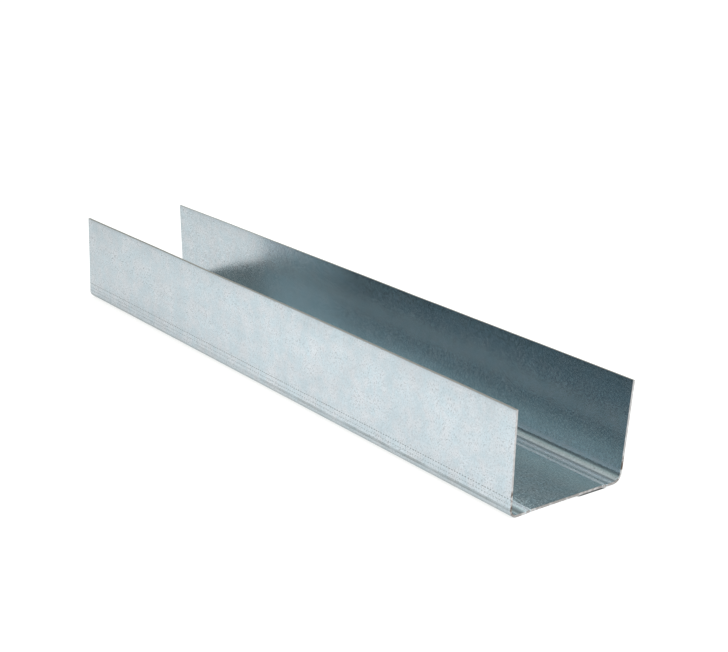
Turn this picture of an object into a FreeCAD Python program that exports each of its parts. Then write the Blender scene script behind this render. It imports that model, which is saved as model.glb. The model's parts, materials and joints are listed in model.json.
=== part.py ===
import FreeCAD, Part
import math
import os

# A short length of drywall track: one strip of galvanised sheet, roll-formed into a channel.
# X runs along the track, Z is up and the web lies on the floor, with the legs standing on its edges.
# All sizes are in millimetres and all angles in degrees.

# Size of the channel
length = 250.0
inside_width = 41.3
leg_height = 31.75
sheet = 0.75
bend_inside_radius = 1.7

# The middle of the web stands a little above the two strips that it rests on
foot_strip = 3.35
web_raise = 0.2
step_run = 1.8

# Cutting the track to length lets its legs spring. A positive lean is outwards from the channel.
# The far bend opens to a wider radius where its leg springs out.
near_leg_lean = -1.4
far_leg_lean_right_end = 2.8
far_leg_lean_left_end = -2.4
opened_bend_inside_radius = 2.5

# The ends are cut a little out of square: the top of the far leg reaches past its foot at the right
# end, and stops short of it at the left end
far_leg_overrun = 1.5
far_leg_setback = 1.2

strip_inner_edge = inside_width / 2 - bend_inside_radius - foot_strip
raised_edge = strip_inner_edge - step_run
step_angle = math.atan2(web_raise, step_run)
step_shift = sheet * math.tan(step_angle / 2)
same_place = 0.000001


def section_point(x, side, across, up):
    """A point of the section at x, on the side +1 (far) or -1 (near) of its middle."""
    return FreeCAD.Vector(x, side * across, up)


def bend_arc(x, side, inside_radius, lift, lean):
    """The bend from the foot strip up to the leg, with its two ends and its middle on the arc."""
    radius = inside_radius + sheet - lift
    leg_end = math.radians(-lean)
    strip_end = math.radians(-90)
    points = []
    for angle in (strip_end, (strip_end + leg_end) / 2, leg_end):
        across = inside_width / 2 - inside_radius + radius * math.cos(angle)
        up = inside_radius + sheet + radius * math.sin(angle)
        points.append(section_point(x, side, across, up))
    return points


def leg_rise(side, inside_radius, lean):
    """The way from the end of a bend up to the top of its leg."""
    angle = math.radians(lean)
    straight = leg_height - inside_radius - sheet
    return section_point(0, side, straight * math.sin(angle), straight * math.cos(angle))


def half_face(x, side, lean, inside_radius, lift, shift):
    """One face of the sheet on one side, from the middle of the web out to the top of the leg."""
    bend_start, bend_middle, bend_end = bend_arc(x, side, inside_radius, lift, lean)
    raised = section_point(x, side, raised_edge + shift, web_raise + lift)
    foot = section_point(x, side, strip_inner_edge + shift, lift)
    step = Part.LineSegment(raised, foot)
    strip = Part.LineSegment(foot, bend_start)
    bend = Part.Arc(bend_start, bend_middle, bend_end)
    top = bend_end + leg_rise(side, inside_radius, lean)
    leg = Part.LineSegment(bend_end, top)
    return raised, top, [step.toShape(), strip.toShape(), bend.toShape(), leg.toShape()]


def section_edges(x, far_lean, far_inside_radius):
    """The outline of the sheet where it is cut off at x, as a list of edges."""
    edges = []
    tops = {}
    for lift, shift in ((0.0, 0.0), (sheet, step_shift)):
        near_raised, near_top, near_edges = half_face(
            x, -1, near_leg_lean, bend_inside_radius, lift, shift
        )
        far_raised, far_top, far_edges = half_face(x, 1, far_lean, far_inside_radius, lift, shift)
        edges += near_edges + far_edges
        edges.append(Part.LineSegment(near_raised, far_raised).toShape())
        tops[lift] = (near_top, far_top)
    for outer_top, inner_top in zip(tops[0.0], tops[sheet]):
        edges.append(Part.LineSegment(outer_top, inner_top).toShape())
    return edges


def face_between(left, right):
    """The face along the track between two matching edges: extruded or flat where it can be."""
    a, b = [vertex.Point for vertex in left.Vertexes]
    d, c = [vertex.Point for vertex in right.Vertexes]
    if (c - b).isEqual(d - a, same_place):
        return left.extrude(d - a)
    normal = (b - a).cross(d - a).normalize()
    if isinstance(left.Curve, Part.Line) and abs((c - a).dot(normal)) < same_place:
        return Part.Face(Part.makePolygon([a, b, c, d, a]))
    return Part.makeRuledSurface(left, right)


left_edges = section_edges(-length / 2, far_leg_lean_left_end, bend_inside_radius)
right_edges = section_edges(
    length / 2 + far_leg_overrun, far_leg_lean_right_end, opened_bend_inside_radius
)
faces = [face_between(left, right) for left, right in zip(left_edges, right_edges)]
for edges in (left_edges, right_edges):
    faces.append(Part.Face(Part.Wire(Part.__sortEdges__(edges))))
shell = Part.makeShell(faces)
shell.sewShape()
strip_as_bent = Part.makeSolid(shell)
if strip_as_bent.Volume < 0:
    strip_as_bent.reverse()


def waste(end, side, top_shift):
    """What the shear takes off past the right (+1) or left (-1) end on one side. Its cut slopes along
    the leg, and is shifted this far to the right at the top of the leg."""
    web_top = web_raise + sheet
    top = leg_height + sheet
    shift = top_shift * (top - web_top) / (leg_height - web_top)
    foot = end * length / 2
    beyond = end * (length / 2 + far_leg_overrun + shift + sheet)
    outline = [
        (foot, -sheet),
        (foot, web_top),
        (foot + shift, top),
        (beyond, top),
        (beyond, -sheet),
    ]
    corners = [FreeCAD.Vector(x, 0, z) for x, z in outline]
    return Part.Face(Part.makePolygon(corners + corners[:1])).extrude(
        FreeCAD.Vector(0, side * (inside_width + leg_height), 0)
    )


track = strip_as_bent
for end, side, top_shift in ((1, -1, 0), (1, 1, far_leg_overrun), (-1, 1, far_leg_setback)):
    track = track.cut(waste(end, side, top_shift))
track = track.removeSplitter().Solids[0]

# The origin is under the middle of the track's box, on the floor
box = track.BoundBox
track.translate(FreeCAD.Vector(-(box.XMin + box.XMax) / 2, -(box.YMin + box.YMax) / 2, 0))

os.makedirs("parts", exist_ok=True)
track.exportStep("parts/track.step")
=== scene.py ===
import json
import math

import bmesh
import bpy
from mathutils import Matrix, Vector


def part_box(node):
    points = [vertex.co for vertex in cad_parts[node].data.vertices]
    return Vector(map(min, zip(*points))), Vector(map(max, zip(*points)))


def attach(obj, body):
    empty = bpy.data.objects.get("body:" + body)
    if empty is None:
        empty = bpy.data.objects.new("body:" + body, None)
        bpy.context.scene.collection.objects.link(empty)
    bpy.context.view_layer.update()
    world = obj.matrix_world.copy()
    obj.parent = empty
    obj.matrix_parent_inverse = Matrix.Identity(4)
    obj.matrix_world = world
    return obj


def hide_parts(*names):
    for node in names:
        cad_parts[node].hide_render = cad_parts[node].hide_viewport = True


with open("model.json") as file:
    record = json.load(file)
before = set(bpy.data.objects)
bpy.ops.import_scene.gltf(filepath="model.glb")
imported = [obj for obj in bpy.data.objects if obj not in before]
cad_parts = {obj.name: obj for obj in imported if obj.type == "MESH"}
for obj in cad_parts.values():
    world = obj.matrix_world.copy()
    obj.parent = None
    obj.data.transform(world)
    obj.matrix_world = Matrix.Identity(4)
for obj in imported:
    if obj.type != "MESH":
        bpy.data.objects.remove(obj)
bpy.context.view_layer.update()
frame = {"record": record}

# The track is one strip of light galvanised sheet, bent into a channel by a train of rollers and
# sheared off at both ends. Its web stands on two narrow strips beside the bends, and the shear has
# let the far leg spring open at the right end. Sizes are in metres.
track_low, track_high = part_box("track")
stud_seat = next(mount for mount in frame["record"]["mounts"] if mount["name"] == "stud_seat")
web_middle = stud_seat["pos_m"][1]
length = 0.25
left_end = track_low.x
right_end = left_end + length
sheet = 0.00075
inside_width = 0.0413
leg_height = 0.03175
bend_inside_radius = 0.0017
opened_bend_inside_radius = 0.0025
foot_strip = 0.00335
web_raise = 0.0002
step_run = 0.0018
near_leg_lean = math.radians(-1.4)
far_leg_lean_right_end = math.radians(2.8)
far_leg_lean_left_end = math.radians(-2.4)
far_leg_overrun = track_high.x - right_end
far_leg_setback = 0.0012

bend_radius = bend_inside_radius + sheet
bend_centre = inside_width / 2 - bend_inside_radius
leg_outside = inside_width / 2 + sheet
raised_edge = bend_centre - foot_strip - step_run

# The rollers press fine lines along the sheet: three grooves outside each leg above its bend, and a
# ridge in the upper face of each foot strip. Leg lines are placed by their height above the floor,
# and the ridge by its distance from the middle of the web.
near_leg_lines = (0.0031, 0.0043, 0.0058)
far_leg_lines = (0.0036, 0.0048, 0.0063)
strip_ridge = 0.0176
line_half_width = 0.0002
line_depth = 0.00004
step_rounding = 0.00035
slit_burr = 0.00012

bend_steps = 12
length_cuts = 140
leg_cuts = 15
on_the_line = 0.00001
near_the_line = 0.00003


def select_vertices(piece, test):
    """Selects the vertices whose place passes the test, in edit mode, and the edges between them."""
    shape = bmesh.from_edit_mesh(piece.data)
    for part in (*shape.verts, *shape.edges, *shape.faces):
        part.select = False
    for vertex in shape.verts:
        vertex.select = test(vertex.co)
    shape.select_flush_mode()
    bmesh.update_edit_mesh(piece.data)


def select_edges(piece, test):
    """Selects the edges whose two ends pass the test together, in edit mode."""
    shape = bmesh.from_edit_mesh(piece.data)
    for part in (*shape.verts, *shape.edges, *shape.faces):
        part.select = False
    for edge in shape.edges:
        edge.select_set(test(edge.verts[0].co, edge.verts[1].co))
    bmesh.update_edit_mesh(piece.data)


def pull_edge(across, up):
    """Extrudes the selected edge to a new one, this far across the track and up."""
    bpy.ops.mesh.extrude_region_move(TRANSFORM_OT_translate={"value": (0, across, up)})


# The outside of the sheet is drawn first, from the raised web out to the tops of the legs, with
# three rows of points for each line.
bpy.ops.object.select_all(action="DESELECT")
bpy.ops.mesh.primitive_plane_add(size=1, location=(left_end + length / 2, web_middle, web_raise))
track = bpy.context.active_object
track.name = "track_sheet"
track.scale = (length, 2 * raised_edge, 1)
bpy.ops.object.transform_apply(location=True, rotation=True, scale=True)
bpy.ops.object.mode_set(mode="EDIT")
bpy.ops.mesh.select_mode(type="VERT")
for side, leg_lines in ((-1, near_leg_lines), (1, far_leg_lines)):
    select_vertices(track, lambda place: side * (place.y - web_middle) > raised_edge / 2)
    pull_edge(side * step_run, -web_raise)
    pull_edge(side * (strip_ridge - line_half_width - raised_edge - step_run), 0)
    pull_edge(side * line_half_width, 0)
    pull_edge(side * line_half_width, 0)
    pull_edge(side * (bend_centre - strip_ridge - line_half_width), 0)
    bpy.ops.mesh.spin(
        steps=bend_steps,
        angle=-side * math.radians(90),
        center=(0, web_middle + side * bend_centre, bend_radius),
        axis=(1, 0, 0),
    )
    reached = bend_radius
    for line in leg_lines:
        pull_edge(0, line - line_half_width - reached)
        pull_edge(0, line_half_width)
        pull_edge(0, line_half_width)
        reached = line + line_half_width
    pull_edge(0, leg_height - reached)
bpy.ops.object.mode_set(mode="OBJECT")

# The sheet gets its thickness towards the inside of the channel. Its cut edges take the second
# material.
zinc = bpy.data.materials.new("galvanised_zinc_skin_passed")
cut_steel = bpy.data.materials.new("sheared_steel_edge")
track.data.materials.append(zinc)
track.data.materials.append(cut_steel)
thickness = track.modifiers.new("sheet thickness", "SOLIDIFY")
thickness.thickness = sheet
thickness.offset = 1
thickness.use_even_offset = True
thickness.material_offset_rim = 1
bpy.ops.object.modifier_apply(modifier=thickness.name)

# The middle row of each groove sinks into the sheet, and that of each ridge rises.
bpy.ops.object.mode_set(mode="EDIT")
for side, leg_lines in ((-1, near_leg_lines), (1, far_leg_lines)):
    for line in leg_lines:
        select_vertices(
            track,
            lambda place: abs(side * (place.y - web_middle) - leg_outside) < on_the_line
            and abs(place.z - line) < on_the_line,
        )
        bpy.ops.transform.translate(value=(0, -side * line_depth, 0))
    select_vertices(
        track,
        lambda place: abs(side * (place.y - web_middle) - strip_ridge) < on_the_line
        and abs(place.z - sheet) < on_the_line,
    )
    bpy.ops.transform.translate(value=(0, 0, line_depth))

# Slitting the strip has left a burr along the inner edge of the top of each leg.
select_vertices(
    track,
    lambda place: place.z > leg_height - on_the_line
    and abs(place.y - web_middle) < leg_outside - on_the_line,
)
bpy.ops.transform.translate(value=(0, 0, slit_burr))

# At the right end the far bend has opened to a wider radius. It grows from the corners between the
# strip and the leg, so it still meets both.
growth = opened_bend_inside_radius - bend_inside_radius
for radius, corner_across, corner_up in (
    (bend_inside_radius, inside_width / 2, sheet),
    (bend_radius, leg_outside, 0),
):
    select_vertices(
        track,
        lambda place: place.x > 0
        and place.y - web_middle > bend_centre - near_the_line
        and place.z < bend_radius + near_the_line
        and abs(math.hypot(place.y - web_middle - bend_centre, place.z - bend_radius) - radius)
        < on_the_line,
    )
    grown = (radius + growth) / radius
    bpy.ops.transform.resize(
        value=(1, grown, grown), center_override=(0, web_middle + corner_across, corner_up)
    )

# The track is twisted a little, so that the far corner of its right end stands off the floor. Each leg
# turns about the centre of its bend by its lean at that end, and the bend opens or closes with it, row
# by row. At the right end the legs also make up for the twist.
corner_lift = 0.00035
twist = math.asin(corner_lift / (2 * bend_centre))


def bend_row(place, side, inside_radius):
    """The row of the bend that a place is in, from 0 on the strip to bend_steps on the leg."""
    across = side * (place.y - web_middle) - inside_width / 2 + inside_radius
    below = inside_radius + sheet - place.z
    if across < on_the_line:
        return 0
    if below < on_the_line:
        return bend_steps
    return round(math.atan2(across, below) / math.radians(90) * bend_steps)


for end, side, lean, inside_radius in (
    (-1, -1, near_leg_lean, bend_inside_radius),
    (1, -1, near_leg_lean - twist, bend_inside_radius),
    (-1, 1, far_leg_lean_left_end, bend_inside_radius),
    (1, 1, far_leg_lean_right_end + twist, opened_bend_inside_radius),
):
    turning_point = (0, web_middle + side * (inside_width / 2 - inside_radius), inside_radius + sheet)
    for row in range(bend_steps, 0, -1):
        select_vertices(
            track, lambda place: end * place.x > 0 and bend_row(place, side, inside_radius) == row
        )
        bpy.ops.transform.rotate(
            value=side * lean * row / bend_steps, orient_axis="X", center_override=turning_point
        )

# The shear went through the far leg on a slope, so its top reaches past its foot at the right end, and
# stops short of it at the left end.
web_top = web_raise + sheet
for end, foot, top_shift in ((1, right_end, far_leg_overrun), (-1, left_end, far_leg_setback)):
    select_vertices(
        track,
        lambda place: end * place.x > 0 and place.y > web_middle and place.z > web_top + on_the_line,
    )
    bpy.ops.transform.rotate(
        value=-math.asin(top_shift / (leg_height - web_top)),
        orient_axis="Y",
        center_override=(foot, 0, web_top),
    )

# The right end turns by the twist, about the near foot strip.
select_vertices(track, lambda place: place.x > 0)
bpy.ops.transform.rotate(
    value=-twist, orient_axis="X", center_override=(0, web_middle - bend_centre, 0)
)

# The rollers leave the two steps in the web with soft corners.
bpy.ops.mesh.select_mode(type="EDGE")
select_edges(
    track,
    lambda a, b: abs(a.x - b.x) > length / 2
    and raised_edge - on_the_line < abs(a.y - web_middle) < raised_edge + step_run + sheet,
)
bpy.ops.mesh.bevel(offset=step_rounding, segments=4, affect="EDGES")

# Cuts along the length and up the legs let the sheet bow a little between its ends.
select_edges(track, lambda a, b: abs(a.x - b.x) > length / 2)
bpy.ops.mesh.subdivide(number_cuts=length_cuts)
select_edges(track, lambda a, b: abs(a.z - b.z) > leg_height / 2)
bpy.ops.mesh.subdivide(number_cuts=leg_cuts)
bpy.ops.mesh.select_all(action="SELECT")
bpy.ops.mesh.normals_make_consistent(inside=False)
bpy.ops.object.mode_set(mode="OBJECT")

# The legs wander in and out by about a tenth of a millimetre, more towards their tops. The near leg
# also bows inwards, most at two thirds of its length from the left end, where bow_scale brings the
# weight of its top to 1.
wave_length = 0.045
wave_height = 0.0006
near_leg_bow = 0.0006
bow_scale = 27 / 4
free_leg = track.vertex_groups.new(name="free_leg")
bowed_leg = track.vertex_groups.new(name="bowed_leg")
for vertex in track.data.vertices:
    freedom = min((vertex.co.z - bend_radius) / (leg_height - bend_radius), 1)
    if freedom > 0:
        free_leg.add([vertex.index], freedom, "REPLACE")
    if freedom > 0 and vertex.co.y < web_middle:
        along_leg = min(max((vertex.co.x - left_end) / length, 0), 1)
        bow_share = bow_scale * along_leg**2 * (1 - along_leg)
        bowed_leg.add([vertex.index], freedom * bow_share, "REPLACE")
wave_pattern = bpy.data.textures.new("sheet_waves", "CLOUDS")
wave_pattern.noise_scale = wave_length
waves = track.modifiers.new("sheet waves", "DISPLACE")
waves.texture = wave_pattern
waves.texture_coords = "LOCAL"
waves.direction = "Y"
waves.strength = wave_height
waves.vertex_group = free_leg.name
bow = track.modifiers.new("near leg bow", "DISPLACE")
bow.direction = "Y"
bow.mid_level = 0
bow.strength = near_leg_bow
bow.vertex_group = bowed_leg.name
for displacement in (waves.name, bow.name):
    bpy.ops.object.modifier_apply(modifier=displacement)

# The shear and the slitter leave the cut edges slightly round.
cut_edge_radius = 0.00004
edge_rounding = track.modifiers.new("cut edges", "BEVEL")
edge_rounding.width = cut_edge_radius
edge_rounding.segments = 1
edge_rounding.limit_method = "ANGLE"
edge_rounding.angle_limit = math.radians(60)
bpy.ops.object.modifier_apply(modifier=edge_rounding.name)
bpy.ops.object.shade_smooth_by_angle(angle=math.radians(30))

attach(track, "root")
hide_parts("track")


def linear(hex_colour):
    """An sRGB hex colour as linear red, green, blue and alpha."""
    channels = [int(hex_colour[start : start + 2], 16) / 255 for start in (1, 3, 5)]
    return (*[c / 12.92 if c <= 0.04045 else ((c + 0.055) / 1.055) ** 2.4 for c in channels], 1)


def add_node(tree, kind, settings, links):
    """Adds a node, with settings for its properties and inputs, and links into its inputs."""
    node = tree.nodes.new(kind)
    for name, value in settings.items():
        if isinstance(name, str) and hasattr(node, name):
            setattr(node, name, value)
        else:
            node.inputs[name].default_value = value
    for name, source in links.items():
        tree.links.new(source, node.inputs[name])
    return node


# Zinc, hot dipped on the steel and then rolled smooth: a satin metal that mirrors its surroundings
# softly, with a fine grain, dark specks, and patches that lean to blue or to pink. The grain and the
# specks are drawn two or three times coarser than real, so that they show.
patch_size = 0.004
grain_size = 0.0006
speck_size = 0.00042
cloud_size = 0.008
streak_width = 0.0012
streak_length = 0.12
rim_width = 0.0013
zinc.use_nodes = True
tree = zinc.node_tree
shader = tree.nodes["Principled BSDF"]
coordinates = add_node(tree, "ShaderNodeTexCoord", {}, {})
place = coordinates.outputs["Object"]
axes = add_node(tree, "ShaderNodeSeparateXYZ", {}, {"Vector": place})
height = axes.outputs["Z"]
patches = add_node(tree, "ShaderNodeTexNoise", {"Scale": 1 / patch_size, "Detail": 3}, {"Vector": place})
grain = add_node(tree, "ShaderNodeTexNoise", {"Scale": 1 / grain_size, "Detail": 2}, {"Vector": place})
specks = add_node(tree, "ShaderNodeTexNoise", {"Scale": 1 / speck_size, "Detail": 1}, {"Vector": place})
clouds = add_node(tree, "ShaderNodeTexNoise", {"Scale": 1 / cloud_size, "Detail": 2}, {"Vector": place})
stretched = add_node(
    tree,
    "ShaderNodeMapping",
    {"Scale": (1 / streak_length, 1 / streak_width, 1 / streak_width)},
    {"Vector": place},
)
streaks = add_node(
    tree, "ShaderNodeTexNoise", {"Scale": 1, "Detail": 3}, {"Vector": stretched.outputs["Vector"]}
)

# A point lies on an inside face where the face looks towards the middle of the channel.
channel_middle = (0, web_middle, leg_height / 2)
inwards = add_node(
    tree, "ShaderNodeVectorMath", {"operation": "SUBTRACT", 0: channel_middle}, {1: place}
)
facing = add_node(
    tree,
    "ShaderNodeVectorMath",
    {"operation": "DOT_PRODUCT"},
    {0: inwards.outputs["Vector"], 1: coordinates.outputs["Normal"]},
)
inside = add_node(
    tree, "ShaderNodeMath", {"operation": "GREATER_THAN", 1: 0}, {0: facing.outputs["Value"]}
).outputs["Value"]
outside = add_node(
    tree, "ShaderNodeMath", {"operation": "SUBTRACT", 0: 1}, {1: inside}
).outputs["Value"]
from_middle = add_node(
    tree, "ShaderNodeMath", {"operation": "SUBTRACT", 1: web_middle}, {0: axes.outputs["Y"]}
).outputs["Value"]

# On a bend the face looks both sideways and up or down, and this measure is far from zero.
normal_axes = add_node(
    tree, "ShaderNodeSeparateXYZ", {}, {"Vector": coordinates.outputs["Normal"]}
)
turned = add_node(
    tree,
    "ShaderNodeMath",
    {"operation": "MULTIPLY"},
    {0: normal_axes.outputs["Y"], 1: normal_axes.outputs["Z"]},
).outputs["Value"]

# The left end is more specked than the rest, and darker, which is painted shade. The zinc is painted
# paler inside the bends, which is a painted highlight, and the grain is deepest on the web. The legs
# darken towards their tops and along their top rim, which is painted shade.
patch_tint = add_node(
    tree,
    "ShaderNodeMapRange",
    {"From Min": 0.35, "From Max": 0.65},
    {"Value": patches.outputs["Fac"]},
)
body_colour = add_node(
    tree,
    "ShaderNodeMix",
    {"data_type": "RGBA", "A": linear("#C3D0D7"), "B": linear("#CAD0D5")},
    {"Factor": patch_tint.outputs["Result"]},
)
bent = add_node(tree, "ShaderNodeMath", {"operation": "ABSOLUTE"}, {0: turned})
bent_inside = add_node(
    tree, "ShaderNodeMath", {"operation": "MULTIPLY"}, {0: bent.outputs["Value"], 1: inside}
)
# Painted highlight: the inside faces of the bends are made paler.
painted_bend_highlight = add_node(
    tree,
    "ShaderNodeMapRange",
    {"From Min": 0.25, "From Max": 0.45, "To Max": 0.55},
    {"Value": bent_inside.outputs["Value"]},
)
bend_highlight_colour = add_node(
    tree,
    "ShaderNodeMix",
    {"data_type": "RGBA", "B": linear("#D4DFDD")},
    {"Factor": painted_bend_highlight.outputs["Result"], "A": body_colour.outputs["Result"]},
)
side_depth = add_node(tree, "ShaderNodeMapRange", {"To Min": 0.13, "To Max": 0.45}, {"Value": inside})
off_middle = add_node(tree, "ShaderNodeMath", {"operation": "ABSOLUTE"}, {0: from_middle})
web_depth = add_node(
    tree,
    "ShaderNodeMapRange",
    {"From Min": raised_edge, "From Max": raised_edge + step_run, "To Min": 0.85, "To Max": 0.2},
    {"Value": off_middle.outputs["Value"]},
)
grain_depth = add_node(
    tree,
    "ShaderNodeMath",
    {"operation": "ADD"},
    {0: side_depth.outputs["Result"], 1: web_depth.outputs["Result"]},
)
off_grain = add_node(
    tree, "ShaderNodeMath", {"operation": "SUBTRACT", 1: 0.5}, {0: grain.outputs["Fac"]}
)
light = add_node(
    tree,
    "ShaderNodeMath",
    {"operation": "MULTIPLY_ADD", 2: 1},
    {0: off_grain.outputs["Value"], 1: grain_depth.outputs["Value"]},
).outputs["Value"]
# The streaks and clouds vary the tone at random. The darkening towards the left end, towards the tops of
# the legs and along their top rim is painted shade.
for pattern, first, last, at_first, at_last in (
    (streaks.outputs["Fac"], 0, 1, 0.96, 1.04),
    (clouds.outputs["Fac"], 0, 1, 0.88, 1.12),
    (axes.outputs["X"], left_end, 0, 0.825, 1),
    (height, leg_height * 0.75, leg_height, 1, 0.93),
    (height, leg_height - rim_width, leg_height, 1, 0.88),
):
    share = add_node(
        tree,
        "ShaderNodeMapRange",
        {"From Min": first, "From Max": last, "To Min": at_first, "To Max": at_last},
        {"Value": pattern},
    )
    light = add_node(
        tree, "ShaderNodeMath", {"operation": "MULTIPLY"}, {0: light, 1: share.outputs["Result"]}
    ).outputs["Value"]
grained = add_node(
    tree,
    "ShaderNodeVectorMath",
    {"operation": "SCALE"},
    {0: bend_highlight_colour.outputs["Result"], "Scale": light},
)
speckled = add_node(
    tree,
    "ShaderNodeMapRange",
    {"interpolation_type": "SMOOTHSTEP", "From Min": 0.57, "From Max": 0.68},
    {"Value": specks.outputs["Fac"]},
).outputs["Result"]
for pattern, first, last, at_first, at_last in (
    (clouds.outputs["Fac"], 0.35, 0.65, 0.22, 0.42),
    (axes.outputs["X"], left_end, 0, 1.5, 1),
):
    share = add_node(
        tree,
        "ShaderNodeMapRange",
        {"From Min": first, "From Max": last, "To Min": at_first, "To Max": at_last},
        {"Value": pattern},
    )
    speckled = add_node(
        tree, "ShaderNodeMath", {"operation": "MULTIPLY"}, {0: speckled, 1: share.outputs["Result"]}
    ).outputs["Value"]
specked_colour = add_node(
    tree,
    "ShaderNodeMix",
    {"data_type": "RGBA", "B": linear("#70787C")},
    {"Factor": speckled, "A": grained.outputs["Vector"]},
)

# The colour darkens along the lines of the rollers, in dots or with gaps, on the near strip, in stains
# above the bends, and along a line where the far bend starts. On both faces of the near bend the
# darkening is painted shade. The rollers have rubbed lines matt beside each bend, on the steps and on
# the far ridge. The colour is lightened just above the bends, inside the legs towards the right end and
# on the far side of the web, which is painted highlight.
bead_pitch = 0.0012
gap_length = 0.01
beads = add_node(
    tree,
    "ShaderNodeTexWave",
    {"Scale": math.tau / 20 / bead_pitch, "Distortion": 1.5, "Detail": 1},
    {"Vector": place},
)
along = add_node(tree, "ShaderNodeTexNoise", {"Scale": 1 / gap_length, "Detail": 1}, {"Vector": place})
line_breaks = []
for pattern, first, last, at_first in (
    (beads.outputs["Fac"], 0.3, 0.7, 0),
    (along.outputs["Fac"], 0.4, 0.6, 0.2),
    (streaks.outputs["Fac"], 0.3, 0.7, 0.7),
    (axes.outputs["X"], left_end / 2, right_end / 2, 0.1),
):
    line_breaks.append(
        add_node(
            tree,
            "ShaderNodeMapRange",
            {"From Min": first, "From Max": last, "To Min": at_first},
            {"Value": pattern},
        ).outputs["Result"]
    )
dots, gaps, streak_breaks, right_half = line_breaks
stains = add_node(
    tree, "ShaderNodeMath", {"operation": "MULTIPLY"}, {0: gaps, 1: right_half}
).outputs["Value"]
far_line_rise = far_leg_lines[0] - near_leg_lines[0]
far_side = add_node(tree, "ShaderNodeMath", {"operation": "GREATER_THAN", 1: 0}, {0: from_middle})
line_height = add_node(
    tree,
    "ShaderNodeMath",
    {"operation": "MULTIPLY_ADD", 1: -far_line_rise},
    {0: far_side.outputs["Value"], 2: height},
).outputs["Value"]
bend_end_height = 0.0026
far_bend_start = bend_centre - 0.0001
painted_highlight_line = 0.0033
painted_highlight_height = 0.009
painted_highlight_web = 0.0125
near_step_line = raised_edge + 0.0006
far_step_line = raised_edge + step_run / 2
strip_middle = bend_centre - foot_strip / 2
strip_reach = foot_strip * 0.6
marks = {}
# Each mark darkens, lightens or dulls along a line. The darkening on both faces of the near bend is
# painted shade, and all the lightening is painted highlight.
for mark, face, measure, line, half_width, strength, breaks in (
    ("dirt", outside, turned, 0.5, 0.48, 0.38, streak_breaks),
    ("dirt", outside, height, bend_end_height, 0.0009, 0.32, right_half),
    ("dirt", outside, height, bend_end_height, 0.0005, 0.28, stains),
    ("dirt", outside, line_height, near_leg_lines[0], 0.00030, 0.3, gaps),
    ("dirt", outside, line_height, near_leg_lines[1], 0.00022, 0.45, dots),
    ("dirt", outside, line_height, near_leg_lines[2], 0.00025, 0.75, dots),
    ("dirt", inside, height, bend_end_height, 0.0006, 0.6, streak_breaks),
    ("dirt", inside, from_middle, far_bend_start, 0.0005, 0.5, streak_breaks),
    ("polish", inside, height, painted_highlight_line, 0.0006, 0.4, streak_breaks),
    ("polish", inside, height, painted_highlight_height, 0.006, 0.6, right_half),
    ("polish", inside, from_middle, painted_highlight_web, 0.0085, 0.4, streak_breaks),
    ("dirt", inside, turned, 0.5, 0.22, 0.5, streak_breaks),
    ("dirt", inside, from_middle, -strip_middle, strip_reach, 0.75, streak_breaks),
    ("rubbing", inside, from_middle, -strip_middle, strip_reach, 0.4, streak_breaks),
    ("rubbing", inside, from_middle, strip_middle, strip_reach, 0.45, streak_breaks),
    ("rubbing", inside, from_middle, -near_step_line, 0.0009, 0.8, streak_breaks),
    ("rubbing", inside, from_middle, far_step_line, 0.0012, 0.7, streak_breaks),
    ("rubbing", inside, from_middle, strip_ridge, 0.0006, 0.9, streak_breaks),
):
    off_line = add_node(tree, "ShaderNodeMath", {"operation": "SUBTRACT", 1: line}, {0: measure})
    distance = add_node(
        tree, "ShaderNodeMath", {"operation": "ABSOLUTE"}, {0: off_line.outputs["Value"]}
    )
    line_shape = add_node(
        tree,
        "ShaderNodeMapRange",
        {"interpolation_type": "SMOOTHSTEP", "From Max": half_width, "To Min": strength, "To Max": 0},
        {"Value": distance.outputs["Value"]},
    )
    on_face = add_node(
        tree, "ShaderNodeMath", {"operation": "MULTIPLY"}, {0: line_shape.outputs["Result"], 1: face}
    )
    broken = add_node(
        tree, "ShaderNodeMath", {"operation": "MULTIPLY"}, {0: on_face.outputs["Value"], 1: breaks}
    ).outputs["Value"]
    if mark in marks:
        broken = add_node(
            tree, "ShaderNodeMath", {"operation": "ADD", "use_clamp": True}, {0: marks[mark], 1: broken}
        ).outputs["Value"]
    marks[mark] = broken
# Painted highlight: the colour is lightened along these marks.
highlighted_colour = add_node(
    tree,
    "ShaderNodeMix",
    {"data_type": "RGBA", "B": linear("#DAE6E9")},
    {"Factor": marks["polish"], "A": specked_colour.outputs["Result"]},
)
# The darkening mixes dirt and stains with painted shade on the near bend.
colour = add_node(
    tree,
    "ShaderNodeMix",
    {"data_type": "RGBA", "B": linear("#565D59")},
    {"Factor": marks["dirt"], "A": highlighted_colour.outputs["Result"]},
)

# The bends are duller than the flats, and the grain is a mixture of smooth and matt points.
dulling = add_node(
    tree,
    "ShaderNodeMapRange",
    {"From Min": 0.05, "From Max": 0.35, "To Max": 0.22},
    {"Value": bent.outputs["Value"]},
)
grain_roughness = add_node(
    tree,
    "ShaderNodeMapRange",
    {"From Min": 0.35, "From Max": 0.65, "To Min": 0.16, "To Max": 0.24},
    {"Value": grain.outputs["Fac"]},
)
marked_roughness = add_node(
    tree,
    "ShaderNodeMath",
    {"operation": "ADD"},
    {0: grain_roughness.outputs["Result"], 1: marks["rubbing"]},
)
roughness = add_node(
    tree,
    "ShaderNodeMath",
    {"operation": "ADD"},
    {0: marked_roughness.outputs["Value"], 1: dulling.outputs["Result"]},
)
bump = add_node(
    tree,
    "ShaderNodeBump",
    {"Strength": 1, "Distance": 0.000008},
    {"Height": grain.outputs["Fac"]},
)
tree.links.new(colour.outputs["Result"], shader.inputs["Base Color"])
tree.links.new(roughness.outputs["Value"], shader.inputs["Roughness"])
tree.links.new(bump.outputs["Normal"], shader.inputs["Normal"])
shader.inputs["Metallic"].default_value = 1

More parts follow.
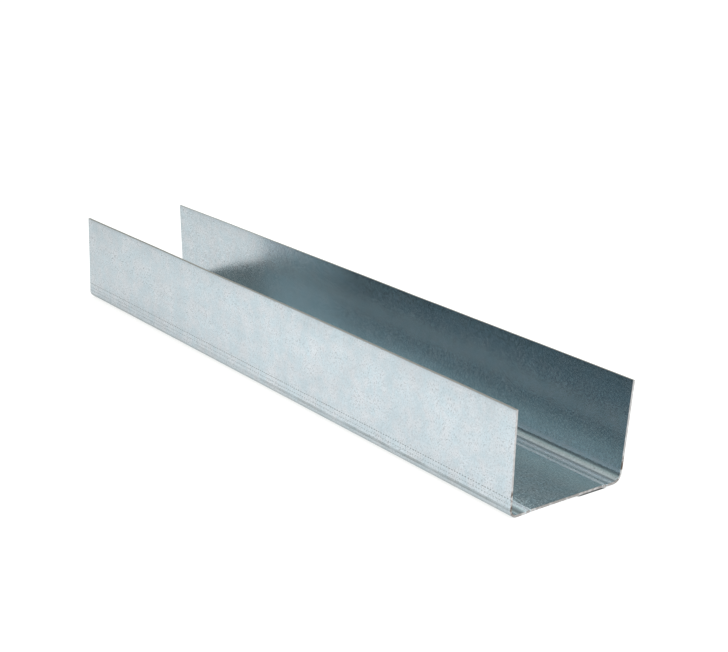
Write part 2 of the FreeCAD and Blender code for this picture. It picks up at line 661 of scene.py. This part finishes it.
# Bare steel where the sheet was cut: a dull grey metal with spots of brown rust, most of them low on
# the legs and along the web, and brownish all along the tops of the legs, which were slit long before
# the ends were sheared.
rust_size = 0.0015
rust_height = 0.0045
rust_reach = 0.0025
rust_fade = 0.002
web_rust_height = 0.0012
web_rust_fade = 0.0008
cut_steel.use_nodes = True
tree = cut_steel.node_tree
shader = tree.nodes["Principled BSDF"]
coordinates = add_node(tree, "ShaderNodeTexCoord", {}, {})
place = coordinates.outputs["Object"]
height = add_node(tree, "ShaderNodeSeparateXYZ", {}, {"Vector": place}).outputs["Z"]
facing_up = add_node(
    tree, "ShaderNodeSeparateXYZ", {}, {"Vector": coordinates.outputs["Normal"]}
).outputs["Z"]
rust = add_node(tree, "ShaderNodeTexNoise", {"Scale": 1 / rust_size, "Detail": 3}, {"Vector": place})
rust_spots = add_node(
    tree,
    "ShaderNodeMapRange",
    {"interpolation_type": "SMOOTHSTEP", "From Min": 0.3, "From Max": 0.55},
    {"Value": rust.outputs["Fac"]},
)
off_rust = add_node(tree, "ShaderNodeMath", {"operation": "SUBTRACT", 1: rust_height}, {0: height})
from_rust = add_node(
    tree, "ShaderNodeMath", {"operation": "ABSOLUTE"}, {0: off_rust.outputs["Value"]}
)
rust_share = add_node(
    tree,
    "ShaderNodeMapRange",
    {"From Min": rust_reach, "From Max": rust_reach + rust_fade, "To Min": 1, "To Max": 0.25},
    {"Value": from_rust.outputs["Value"]},
)
web_share = add_node(
    tree,
    "ShaderNodeMapRange",
    {
        "From Min": web_rust_height,
        "From Max": web_rust_height + web_rust_fade,
        "To Min": 0.5,
        "To Max": 0,
    },
    {"Value": height},
)
more_rust = add_node(
    tree,
    "ShaderNodeMath",
    {"operation": "MAXIMUM"},
    {0: rust_share.outputs["Result"], 1: web_share.outputs["Result"]},
)
rusted = add_node(
    tree,
    "ShaderNodeMath",
    {"operation": "MULTIPLY"},
    {0: rust_spots.outputs["Result"], 1: more_rust.outputs["Value"]},
)
edge_colour = add_node(
    tree,
    "ShaderNodeMix",
    {"data_type": "RGBA", "A": linear("#CBCACB"), "B": linear("#5C5048")},
    {"Factor": rusted.outputs["Value"]},
)
slit_edge = add_node(
    tree, "ShaderNodeMapRange", {"From Min": 0.5, "From Max": 0.8}, {"Value": facing_up}
)
cut_colour = add_node(
    tree,
    "ShaderNodeMix",
    {"data_type": "RGBA", "B": linear("#968D87")},
    {"Factor": slit_edge.outputs["Result"], "A": edge_colour.outputs["Result"]},
)
tree.links.new(cut_colour.outputs["Result"], shader.inputs["Base Color"])
shader.inputs["Metallic"].default_value = 1
shader.inputs["Roughness"].default_value = 0.4

# The floor is a plain white table, wide enough to fill the view. It glows evenly, as if lit from below,
# except under the far side of the web, which the twist holds off the table.
table_size = 8
table_gap = 0.00005
table_glow = 0.79
bpy.ops.object.select_all(action="DESELECT")
bpy.ops.mesh.primitive_plane_add(size=table_size, location=(0, 0, -table_gap))
floor = bpy.context.active_object
floor.name = "floor"
white_table = bpy.data.materials.new("white_matt_table")
white_table.use_nodes = True
tree = white_table.node_tree
shader = tree.nodes["Principled BSDF"]
shader.inputs["Base Color"].default_value = linear("#A1A0A0")
shader.inputs["Roughness"].default_value = 0.9
shader.inputs["Emission Color"].default_value = linear("#FFFFFD")
place = add_node(tree, "ShaderNodeTexCoord", {}, {}).outputs["Object"]
shade_offset = 0.01
shade_middle = ((left_end + right_end) / 2, web_middle + shade_offset, 0)
shade_length = length - 0.0005
shade_width = 0.009
end_fade = 0.0002
side_fade = 0.0015
off_shade = add_node(
    tree, "ShaderNodeVectorMath", {"operation": "SUBTRACT", 1: shade_middle}, {0: place}
)
spread = add_node(
    tree, "ShaderNodeVectorMath", {"operation": "ABSOLUTE"}, {0: off_shade.outputs["Vector"]}
)
spread_axes = add_node(tree, "ShaderNodeSeparateXYZ", {}, {"Vector": spread.outputs["Vector"]})
past_edges = [
    add_node(
        tree,
        "ShaderNodeMapRange",
        {"From Min": edge, "From Max": edge + fade, "To Max": table_glow},
        {"Value": spread_axes.outputs[axis]},
    ).outputs["Result"]
    for axis, edge, fade in (("X", shade_length / 2, end_fade), ("Y", shade_width / 2, side_fade))
]
glow_off_shade = add_node(
    tree, "ShaderNodeMath", {"operation": "MAXIMUM"}, {0: past_edges[0], 1: past_edges[1]}
)
tree.links.new(glow_off_shade.outputs["Value"], shader.inputs["Emission Strength"])
floor.data.materials.append(white_table)

# The light is soft and even: a pale surround, faintly green low down, brightest overhead and brighter
# behind the track than before it, and one broad panel that faces down, high beyond the right end.
world = bpy.data.worlds.new("studio_surround")
bpy.context.scene.world = world
world.use_nodes = True
tree = world.node_tree
direction = add_node(tree, "ShaderNodeTexCoord", {}, {}).outputs["Generated"]
axes = add_node(tree, "ShaderNodeSeparateXYZ", {}, {"Vector": direction})
low_glow = add_node(
    tree,
    "ShaderNodeMapRange",
    {"From Min": 0.2, "From Max": 0.65, "To Min": 0.3, "To Max": 0.5},
    {"Value": axes.outputs["Z"]},
)
overhead_glow = add_node(
    tree,
    "ShaderNodeMapRange",
    {"interpolation_type": "SMOOTHSTEP", "From Min": 0.65, "From Max": 0.9, "To Max": 0.25},
    {"Value": axes.outputs["Z"]},
)
back_glow = add_node(
    tree,
    "ShaderNodeMapRange",
    {"From Min": -0.2, "From Max": 0.6, "To Max": 0.8},
    {"Value": axes.outputs["Y"]},
)
lower_glow = add_node(
    tree,
    "ShaderNodeMath",
    {"operation": "ADD"},
    {0: low_glow.outputs["Result"], 1: back_glow.outputs["Result"]},
)
glow = add_node(
    tree,
    "ShaderNodeMath",
    {"operation": "ADD"},
    {0: lower_glow.outputs["Value"], 1: overhead_glow.outputs["Result"]},
)
tree.links.new(glow.outputs["Value"], tree.nodes["Background"].inputs["Strength"])
overhead = add_node(
    tree, "ShaderNodeMapRange", {"From Min": 0.5, "From Max": 0.8}, {"Value": axes.outputs["Z"]}
)
sky_colour = add_node(
    tree,
    "ShaderNodeMix",
    {"data_type": "RGBA", "A": linear("#EEFFFC"), "B": linear("#FFFFFF")},
    {"Factor": overhead.outputs["Result"]},
)
tree.links.new(sky_colour.outputs["Result"], tree.nodes["Background"].inputs["Color"])

panel = bpy.data.lights.new("right_panel", "AREA")
panel.shape = "SQUARE"
panel.size = 0.4
panel.energy = 2.2
panel_object = bpy.data.objects.new("right_panel", panel)
panel_object.location = (0.5, -0.2, 0.55)
bpy.context.scene.collection.objects.link(panel_object)

bpy.context.scene.view_settings.view_transform = "Standard"

# The camera stands off the right end, a little above the track, as the photograph was taken.
image_width = 728
camera_azimuth = math.radians(53.487)
camera_elevation = math.radians(18.248)
camera_roll = math.radians(0.642)
camera_distance = 0.52869
lens_pixels = 1558.75
aim_height = 0.016
aim_right = 0.016758
aim_up = 0.001865
back = Vector(
    (
        math.sin(camera_azimuth) * math.cos(camera_elevation),
        -math.cos(camera_azimuth) * math.cos(camera_elevation),
        math.sin(camera_elevation),
    )
)
right = Vector((math.cos(camera_azimuth), math.sin(camera_azimuth), 0))
up = back.cross(right)
aim = Vector((left_end + length / 2, web_middle, aim_height)) + aim_right * right + aim_up * up
camera = bpy.data.cameras.new("camera")
camera.sensor_width = 36
camera.lens = lens_pixels * camera.sensor_width / image_width
camera.clip_start = 0.01
camera_object = bpy.data.objects.new("camera", camera)
rolled = Matrix.Rotation(camera_roll, 3, back)
camera_turn = Matrix((rolled @ right, rolled @ up, back)).transposed()
camera_object.matrix_world = Matrix.Translation(aim + camera_distance * back) @ camera_turn.to_4x4()
bpy.context.scene.collection.objects.link(camera_object)
bpy.context.scene.camera = camera_object
